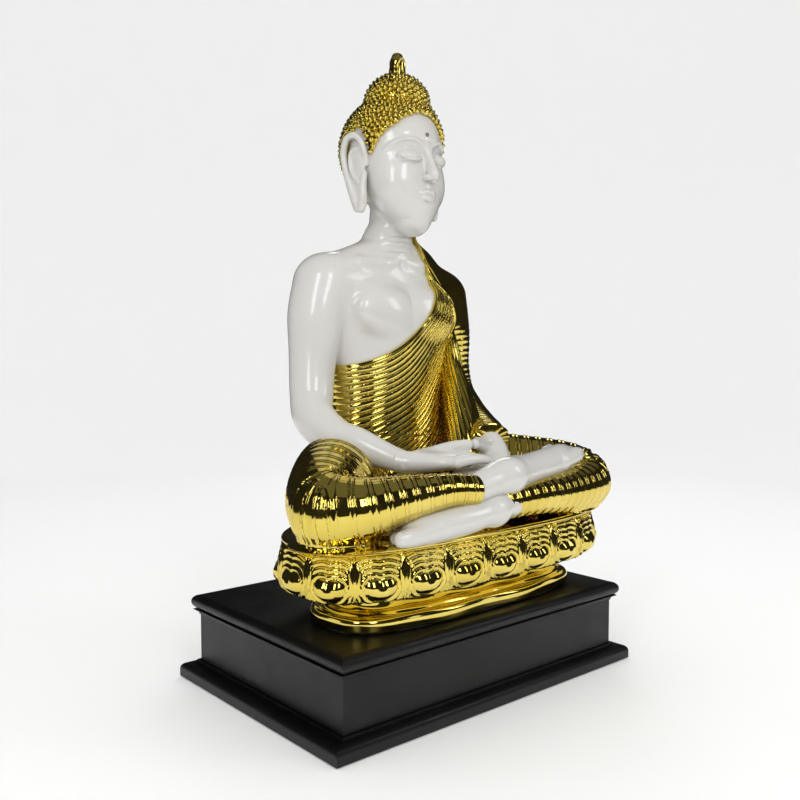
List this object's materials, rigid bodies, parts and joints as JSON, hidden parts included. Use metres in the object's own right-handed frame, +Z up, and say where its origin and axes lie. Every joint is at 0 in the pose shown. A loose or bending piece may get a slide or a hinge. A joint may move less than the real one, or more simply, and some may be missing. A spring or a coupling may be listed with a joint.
{
  "type": "seated buddha statue on plinth",
  "caption": "Seated Buddha in a pleated gold robe with pearl white skin, on a lotus throne screwed to a black box plinth.",
  "frame": {"origin": "middle of the plinth's underside, on the face it stands on", "axes": "+Z up, -Y the way the statue faces, +X towards the statue's own left"},
  "size_m": [0.3365, 0.2305, 0.537],
  "materials": {
    "gold": "mirror gold metallised coating on cast resin",
    "pearl": "glossy pearl white lacquer on cast resin",
    "black_board": "satin black lacquer on fibreboard",
    "raw_timber": "bare planed timber",
    "felt": "dark wool felt",
    "steel": "zinc plated",
    "brass": "turned, bare",
    "crystal": "clear faceted stone"
  },
  "bodies": {
    "root": {"base_felt": "felt", "base_board": "black_board", "base_bead": "black_board", "front_panel": "black_board", "rear_panel": "black_board", "left_panel": "black_board", "right_panel": "black_board", "corner_blocks": "raw_timber", "base_screws": "steel", "top_board": "black_board", "top_cove": "black_board", "fixing_screws": "steel", "washers": "steel", "threaded_inserts": "brass", "throne_gasket": "felt", "throne_foot": "gold", "throne_pins": "steel", "lotus_band": "gold", "lower_robe": "gold", "seat_pins": "steel", "left_foot": "pearl", "right_foot": "pearl", "torso": "pearl", "waist_pins": "steel", "upper_robe": "gold", "left_sleeve": "gold", "right_arm": "pearl", "shoulder_pin": "steel", "right_hand": "pearl", "left_hand": "pearl", "wrist_pins": "steel", "head": "pearl", "neck_pin": "steel", "hair": "gold", "flame_finial": "gold", "finial_pin": "steel", "brow_gem": "crystal"}
  },
  "joints": []
}
